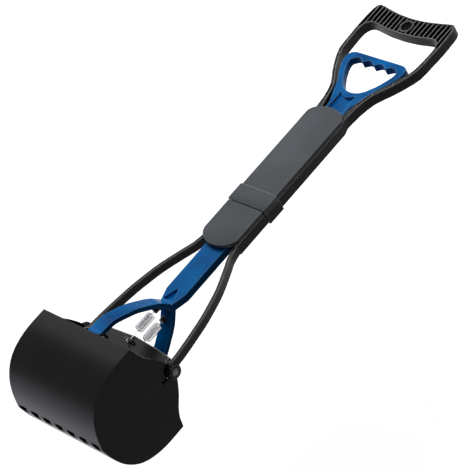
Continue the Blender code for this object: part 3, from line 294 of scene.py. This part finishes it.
def surface_group():
    """Clouds, roughness, grain height, an edge mask and a rounded normal."""
    group = bpy.data.node_groups.new("moulded_surface", "ShaderNodeTree")
    starts = {"Grain Scale": GRAIN_SCALE, "Cloud Scale": CLOUD_SCALE, "Polish": POLISH,
              "Polish Change": POLISH_CHANGE}
    for name, start in starts.items():
        socket = group.interface.new_socket(name, in_out="INPUT",
                                            socket_type="NodeSocketFloat")
        socket.default_value = start
    for name in ("Cloud", "Roughness", "Height", "Edge"):
        group.interface.new_socket(name, in_out="OUTPUT", socket_type="NodeSocketFloat")
    group.interface.new_socket("Rounded", in_out="OUTPUT", socket_type="NodeSocketVector")
    nodes = group.nodes
    links = group.links
    entry = nodes.new("NodeGroupInput")
    leave = nodes.new("NodeGroupOutput")
    place = nodes.new("ShaderNodeTexCoord")
    grain = nodes.new("ShaderNodeTexNoise")
    grain.inputs["Detail"].default_value = GRAIN_DETAIL
    links.new(place.outputs["Object"], grain.inputs["Vector"])
    links.new(entry.outputs["Grain Scale"], grain.inputs["Scale"])
    links.new(grain.outputs["Fac"], leave.inputs["Height"])
    cloud = nodes.new("ShaderNodeTexNoise")
    cloud.inputs["Detail"].default_value = CLOUD_DETAIL
    links.new(place.outputs["Object"], cloud.inputs["Vector"])
    links.new(entry.outputs["Cloud Scale"], cloud.inputs["Scale"])
    links.new(cloud.outputs["Fac"], leave.inputs["Cloud"])
    change = nodes.new("ShaderNodeMath")
    change.operation = "MULTIPLY_ADD"
    links.new(cloud.outputs["Fac"], change.inputs[0])
    links.new(entry.outputs["Polish Change"], change.inputs[1])
    links.new(entry.outputs["Polish"], change.inputs[2])
    links.new(change.outputs["Value"], leave.inputs["Roughness"])
    rounded = nodes.new("ShaderNodeBevel")
    rounded.samples = EDGE_SAMPLES
    rounded.inputs["Radius"].default_value = EDGE_RADIUS
    links.new(rounded.outputs["Normal"], leave.inputs["Rounded"])
    flat = nodes.new("ShaderNodeNewGeometry")
    agree = nodes.new("ShaderNodeVectorMath")
    agree.operation = "DOT_PRODUCT"
    links.new(rounded.outputs["Normal"], agree.inputs[0])
    links.new(flat.outputs["Normal"], agree.inputs[1])
    edge = nodes.new("ShaderNodeMapRange")
    edge.inputs["From Min"].default_value = EDGE_START
    edge.inputs["From Max"].default_value = EDGE_FULL
    links.new(agree.outputs["Value"], edge.inputs["Value"])
    links.new(edge.outputs["Result"], leave.inputs["Edge"])
    return group


surface = surface_group()
print("nodes in the shared surface:", len(surface.nodes))

# %% [markdown]
# The photograph shows four plastics: a low-gloss black in the handle and the arms, a
# glossy black in the jaws, a deep glossy blue in both rods, and a satin grey with a
# visible grain on the covers. The springs are bright wire, and the screws and pins are
# dark plated steel. A ramp turns the clouds into two near colours, and a pale colour is
# mixed in along the edges as a painted highlight. Black plastic keeps a low specular
# level, or the white studio would turn it grey.

# %% The finishes
DARK_CLOUD = 0.35
LIGHT_CLOUD = 0.7
GRAIN_DEPTH = 0.1 * MM


def finish(name, dark, light, edge_highlight, polish, bump, specular=0.5, metallic=0.0,
           grain=GRAIN_SCALE, cloud=CLOUD_SCALE):
    """A finish: two near colours in clouds, and a paler one painted along its edges as a
    highlight.
    """
    look = bpy.data.materials.new(name)
    look.use_nodes = True
    nodes = look.node_tree.nodes
    links = look.node_tree.links
    shader = nodes["Principled BSDF"]
    shader.inputs["Metallic"].default_value = metallic
    shader.inputs["Specular IOR Level"].default_value = specular
    shared = nodes.new("ShaderNodeGroup")
    shared.node_tree = surface
    shared.inputs["Grain Scale"].default_value = grain
    shared.inputs["Cloud Scale"].default_value = cloud
    shared.inputs["Polish"].default_value = polish
    links.new(shared.outputs["Roughness"], shader.inputs["Roughness"])
    colours = nodes.new("ShaderNodeValToRGB")
    first, last = colours.color_ramp.elements
    first.position = DARK_CLOUD
    first.color = (*dark, 1)
    last.position = LIGHT_CLOUD
    last.color = (*light, 1)
    links.new(shared.outputs["Cloud"], colours.inputs["Fac"])
    # Painted highlight: the pale edge colour is mixed into the base colour where the edge
    # mask is high.
    highlight_mix = nodes.new("ShaderNodeMix")
    highlight_mix.data_type = "RGBA"
    highlight_mix.inputs["B"].default_value = (*edge_highlight, 1)
    links.new(shared.outputs["Edge"], highlight_mix.inputs["Factor"])
    links.new(colours.outputs["Color"], highlight_mix.inputs["A"])
    links.new(highlight_mix.outputs["Result"], shader.inputs["Base Color"])
    relief = nodes.new("ShaderNodeBump")
    relief.inputs["Strength"].default_value = bump
    relief.inputs["Distance"].default_value = GRAIN_DEPTH
    links.new(shared.outputs["Height"], relief.inputs["Height"])
    links.new(shared.outputs["Rounded"], relief.inputs["Normal"])
    links.new(relief.outputs["Normal"], shader.inputs["Normal"])
    return look


# The third colour of each finish is a painted highlight along its edges, pale on the black
# plastics.
looks = {
    "black_plastic": finish(
        "black_moulding", dark=(0.0030, 0.0028, 0.0028), light=(0.007, 0.0065, 0.0065),
        edge_highlight=(0.45, 0.45, 0.442), polish=0.24, bump=0.4, specular=0.10),
    "jaw_plastic": finish(
        "jaw_gloss", dark=(0.0030, 0.0025, 0.0025), light=(0.006, 0.0052, 0.0055),
        edge_highlight=(0.03, 0.03, 0.031), polish=0.24, bump=0.05, specular=0.08, grain=500.0),
    "blue_plastic": finish(
        "blue_gloss", dark=(0.0, 0.060, 0.230), light=(0.0, 0.180, 0.530),
        edge_highlight=(0.14, 0.42, 0.80), polish=0.14, bump=0.1, specular=0.022, cloud=22.0),
    "grey_cover": finish(
        "cover_satin", dark=(0.018, 0.023, 0.029), light=(0.080, 0.088, 0.099),
        edge_highlight=(0.34, 0.35, 0.36), polish=0.42, bump=0.5, specular=0.2, grain=1400.0,
        cloud=9.0),
    "spring_wire": finish(
        "spring_wire", dark=(0.62, 0.62, 0.63), light=(0.80, 0.80, 0.81),
        edge_highlight=(0.85, 0.85, 0.86), polish=0.18, bump=0.1, metallic=1.0, grain=2000.0),
    "steel_fastener": finish(
        "dark_fastener", dark=(0.03, 0.03, 0.032), light=(0.06, 0.06, 0.063),
        edge_highlight=(0.25, 0.25, 0.255), polish=0.28, bump=0.2, metallic=1.0, grain=2000.0),
}
for node, piece in frame["nodes"].items():
    piece.data.materials.clear()
    piece.data.materials.append(looks[slot_of_node[node]])
print("finishes:", len(looks), "on", len(frame["nodes"]), "nodes")

# %% [markdown]
# The frame's curved walls are made of narrow flat facets, which a glossy plastic would
# show as stripes. Subdivision would round them, but the real edges and the size too.
# Smooth shading leaves the shape alone, and it can stop at real edges. A copy of each
# curved moulding is merged, so that its triangles share corners, and the triangles of
# each flat are joined into one face. The normals that came with the import would keep
# the facets, so they are cleared before the copy is shaded smooth by angle. The copy
# stands for its node.

# %% Smooth walls on the curved mouldings
MERGE_DISTANCE = 0.01 * MM
SMOOTH_ANGLE = math.radians(28)
FLAT_ANGLE = math.radians(0.3)
CURVED_NODES = ["handle_frame", "pull_handle", "fork_frame", "jaw_fork", "tie_bar",
                "upper_cover", "lower_cover", "front_jaw", "rear_jaw"]


def only(piece):
    """Make this piece the one that operators act on."""
    bpy.ops.object.select_all(action="DESELECT")
    piece.select_set(True)
    bpy.context.view_layer.objects.active = piece


def dress(piece, node):
    """Let a finished piece stand for a node, with that node's finish."""
    piece.data.materials.clear()
    piece.data.materials.append(looks[slot_of_node[node]])
    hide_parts(node)
    return piece


def smooth_copy(node):
    """A copy of a node, merged, shaded smooth and riding on the node's body."""
    source = frame["nodes"][node]
    piece = bpy.data.objects.new(node + "_smooth", source.data.copy())
    bpy.context.scene.collection.objects.link(piece)
    only(piece)
    bpy.ops.object.mode_set(mode="EDIT")
    bpy.ops.mesh.select_all(action="SELECT")
    bpy.ops.mesh.remove_doubles(threshold=MERGE_DISTANCE)
    bpy.ops.mesh.dissolve_limited(angle_limit=FLAT_ANGLE)
    bpy.ops.object.mode_set(mode="OBJECT")
    bpy.ops.mesh.customdata_custom_splitnormals_clear()
    bpy.ops.object.shade_smooth_by_angle(angle=SMOOTH_ANGLE)
    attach(piece, body_of_node[node])
    return dress(piece, node)


for node in CURVED_NODES:
    smooth_copy(node)
print("smoothed:", len(CURVED_NODES))

# %% [markdown]
# Each return spring is one wire: a straight lead in the knob above, close curls, and a
# hook through the eye of the tie bar. A Screw modifier could wind the curls, but not the
# lead and the hook in the same wire, so its middle line is worked out point by point. Its
# height and its width come from the box of the frame's own spring. At both ends of the
# curls the wire runs in to the middle over half a turn.

# %% The line of the wire
WIRE_RADIUS = 0.48 * MM
CURL_COUNT = 15
CURL_POINTS = 24
CURL_LENGTH = 20.5 * MM
CURLS_BELOW_TOP = 7.6 * MM
LEAD = 3.0 * MM
HOOK_RADIUS = 1.5 * MM
HOOK_POINTS = 12
HOOK_RISE = 2.5 * MM
SPRING_OFFSET = 8.5 * MM


def spring_line(curl_radius, low, high, foot, top):
    """Points down the middle of the rear spring's wire, from the knob to the hook's tip."""
    half = CURL_POINTS // 2
    total = CURL_COUNT * CURL_POINTS + 2 * half
    rise = CURL_LENGTH / (CURL_COUNT * CURL_POINTS)
    line = [(0, SPRING_OFFSET, high), (0, SPRING_OFFSET, top + LEAD)]
    for step in range(1, total):
        angle = 2 * math.pi * step / CURL_POINTS
        reach = curl_radius * min(1, step / half, (total - step) / half)
        height = top - (step - half) * rise
        if step < half:
            height = top + LEAD * (1 - step / half) / 2
        if step > total - half:
            height = foot - LEAD * (1 - (total - step) / half) / 2
        line.append((reach * math.sin(angle), SPRING_OFFSET + reach * math.cos(angle),
                     height))
    hook = low + WIRE_RADIUS + HOOK_RADIUS
    line += [(0, SPRING_OFFSET, foot - LEAD), (0, SPRING_OFFSET, hook + HOOK_RADIUS)]
    for step in range(HOOK_POINTS + 1):
        angle = math.pi * step / HOOK_POINTS
        line.append((0, SPRING_OFFSET + HOOK_RADIUS * (1 - math.cos(angle)),
                     hook - HOOK_RADIUS * math.sin(angle)))
    line.append((0, SPRING_OFFSET + 2 * HOOK_RADIUS, hook + HOOK_RISE))
    return line


low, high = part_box("rear_spring")
curls_top = high[2] - CURLS_BELOW_TOP
curls_foot = curls_top - CURL_LENGTH
wire_line = spring_line((high[0] - low[0]) / 2 - WIRE_RADIUS, low[2], high[2],
                        curls_foot, curls_top)
print("points on the wire's line:", len(wire_line))

# %% [markdown]
# A curve along this line gets the wire's thickness and is made a closed mesh. The front
# spring is the same spring turned half round, so it is a copy. The rod holds one end and
# the fork the other.

# %% The springs
WIRE_RESOLUTION = 3
WIRE_SMOOTH_ANGLE = math.radians(60)


def wind_wire(name, line):
    """The wire along this line, as one closed tube."""
    curve = bpy.data.curves.new(name, "CURVE")
    curve.dimensions = "3D"
    curve.bevel_depth = WIRE_RADIUS
    curve.bevel_resolution = WIRE_RESOLUTION
    curve.use_fill_caps = True
    wire = curve.splines.new("POLY")
    wire.points.add(len(line) - 1)
    for point, place in zip(wire.points, line):
        point.co = (*place, 1)
    piece = bpy.data.objects.new(name + "_wound", curve)
    bpy.context.scene.collection.objects.link(piece)
    only(piece)
    bpy.ops.object.convert(target="MESH")
    piece = bpy.context.object
    bpy.ops.object.mode_set(mode="EDIT")
    bpy.ops.mesh.select_all(action="SELECT")
    bpy.ops.mesh.remove_doubles(threshold=MERGE_DISTANCE)
    bpy.ops.mesh.normals_make_consistent(inside=False)
    bpy.ops.object.mode_set(mode="OBJECT")
    bpy.ops.object.shade_smooth_by_angle(angle=WIRE_SMOOTH_ANGLE)
    return piece


def own_copy(model, name):
    """A copy of a finished piece, with a mesh of its own."""
    piece = model.copy()
    piece.data = model.data.copy()
    piece.name = name
    bpy.context.scene.collection.objects.link(piece)
    return piece


rear = wind_wire("rear_spring", wire_line)
front = own_copy(rear, "front_spring_wound")
front.data.transform(Matrix.Rotation(math.pi, 4, "Z"))
for piece, name, side in ((rear, "rear_spring", 1), (front, "front_spring", -1)):
    dress(piece, name)
    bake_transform(piece)
    print(name, "faces:", len(piece.data.polygons))

# %% [markdown]
# Every screw has the same pan head with a cross recess, at two sizes. The head starts as
# a cylinder, whose underside is inset and extruded into the shank, and its rim is
# rounded. A recess with four tapered walls is hard to get from the top's own faces, so a
# boolean cuts two tapered blades out of it, one across the other. One screw of each size
# is modelled along Z, as long and as wide as the frame's own.

# %% One screw of each size
COVER_SCREW_HEAD = 1.6 * MM
COVER_SCREW_SHANK = 1.4 * MM
PIVOT_SCREW_HEAD = 1.4 * MM
PIVOT_SCREW_SHANK = 2.1 * MM
HEAD_SIDES = 32
UNDERSIDE = -0.9
RIM_SHARE = 0.3
RIM_SEGMENTS = 3
RIM_ANGLE = math.radians(60)
RECESS_SHARE = 0.62
RECESS_DEPTH_SHARE = 0.6
BLADE_SHARE = 0.17
BLADE_TAPER = 0.6


def select_underside(piece):
    """Leave the piece in edit mode, with the faces that look down selected."""
    only(piece)
    bpy.ops.object.mode_set(mode="EDIT")
    bpy.ops.mesh.select_mode(type="FACE")
    bpy.ops.mesh.select_all(action="DESELECT")
    bpy.ops.object.mode_set(mode="OBJECT")
    for face in piece.data.polygons:
        face.select = face.normal.z < UNDERSIDE
    bpy.ops.object.mode_set(mode="EDIT")


def apply_modifiers(piece):
    """Make the modifiers' result the piece's own mesh."""
    only(piece)
    for modifier in list(piece.modifiers):
        bpy.ops.object.modifier_apply(modifier=modifier.name)


def round_rims(piece, width, angle):
    """Round the edges that are sharper than this angle."""
    rim = piece.modifiers.new("rim", "BEVEL")
    rim.width = width
    rim.segments = RIM_SEGMENTS
    rim.limit_method = "ANGLE"
    rim.angle_limit = angle
    apply_modifiers(piece)


def cut_blade(screw, radius, depth, turn):
    """Cut one blade of the cross, the lower half of its height in the head's top."""
    bpy.ops.object.select_all(action="DESELECT")
    bpy.ops.mesh.primitive_cone_add(vertices=4, radius1=BLADE_TAPER, radius2=1, depth=1,
                                    rotation=(0, 0, math.pi / 4))
    blade = bpy.context.object
    bpy.ops.object.transform_apply(location=True, rotation=True, scale=True)
    side = math.sqrt(2) * radius
    blade.scale = (side * RECESS_SHARE, side * BLADE_SHARE, 2 * depth)
    blade.rotation_euler = (0, 0, turn)
    bpy.ops.object.transform_apply(location=True, rotation=True, scale=True)
    recess = screw.modifiers.new("recess", "BOOLEAN")
    recess.operation = "DIFFERENCE"
    recess.solver = "EXACT"
    recess.object = blade
    apply_modifiers(screw)
    bpy.data.objects.remove(blade)


def make_screw(node, axis, head_thickness, shank_radius):
    """A screw along Z with the top of its head at zero, at the size of this node."""
    low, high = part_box(node)
    along = "XYZ".index(axis)
    across = (along + 1) % 3
    head_radius = (high[across] - low[across]) / 2
    length = high[along] - low[along]
    bpy.ops.object.select_all(action="DESELECT")
    bpy.ops.mesh.primitive_cylinder_add(vertices=HEAD_SIDES, radius=head_radius,
                                        depth=head_thickness,
                                        location=(0, 0, -head_thickness / 2))
    screw = bpy.context.object
    bpy.ops.object.transform_apply(location=True, rotation=True, scale=True)
    select_underside(screw)
    bpy.ops.mesh.inset(thickness=head_radius - shank_radius)
    bpy.ops.mesh.extrude_region_move(
        TRANSFORM_OT_translate={"value": (0, 0, head_thickness - length)})
    bpy.ops.object.mode_set(mode="OBJECT")
    round_rims(screw, head_thickness * RIM_SHARE, RIM_ANGLE)
    for turn in (0, math.pi / 2):
        cut_blade(screw, head_radius, head_thickness * RECESS_DEPTH_SHARE, turn)
    only(screw)
    bpy.ops.object.shade_smooth_by_angle(angle=SMOOTH_ANGLE)
    return screw


cover_screw = make_screw("upper_cover_screw_1", "Y", COVER_SCREW_HEAD, COVER_SCREW_SHANK)
pivot_screw = make_screw("left_pivot_screw", "X", PIVOT_SCREW_HEAD, PIVOT_SCREW_SHANK)
print("faces on a screw:", len(cover_screw.data.polygons), len(pivot_screw.data.polygons))

# %% [markdown]
# A copy of the finished screw is turned to its axis and moved to where the frame's own
# screw is. The covers are held from behind, so those heads face +Y, and the heads of the
# jaws' axle face outwards at both sides. The two models have done their work then, and
# are removed.

# %% The screws in their places
def set_screw(model, node, axis, sign):
    """A copy of the model where the frame's own screw is, its head towards the sign."""
    low, high = (Vector(corner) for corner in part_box(node))
    along = "XYZ".index(axis)
    place = (low + high) / 2
    place[along] = high[along] if sign > 0 else low[along]
    facing = Vector((0, 0, 0))
    facing[along] = sign
    turn = facing.to_track_quat("Z", "Y").to_matrix().to_4x4()
    screw = own_copy(model, node + "_cross")
    screw.data.transform(Matrix.Translation(place) @ turn)
    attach(screw, body_of_node[node])
    return dress(screw, node)


cover_screws = [set_screw(cover_screw, node, "Y", 1) for node in body_of_node
                if "cover_screw" in node]
pivot_screws = [set_screw(pivot_screw, "left_pivot_screw", "X", -1),
                set_screw(pivot_screw, "right_pivot_screw", "X", 1)]
bpy.data.objects.remove(cover_screw)
bpy.data.objects.remove(pivot_screw)
print("screws in the covers:", len(cover_screws), "and in the axle:", len(pivot_screws))

# %% [markdown]
# The washers over the jaw pivots and the knobs over the springs are turned shapes. They
# could be made again by a spin, but the frame's own have the right profile. So a copy of
# each is merged and its rims are rounded by a bevel: it keeps its size and catches a thin
# ring of light, as in the photograph.

# %% The washers and knobs
ROUND_RIM = 0.25 * MM
ROUND_NODES = ["left_pivot_washer", "right_pivot_washer", "front_spring_post",
               "rear_spring_post"]
for node in ROUND_NODES:
    round_rims(smooth_copy(node), ROUND_RIM, SMOOTH_ANGLE)
print("rounded:", len(ROUND_NODES))

# %% The size of the dressed tool
low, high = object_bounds()
print("size in mm:", [round(value / MM, 1) for value in high - low])
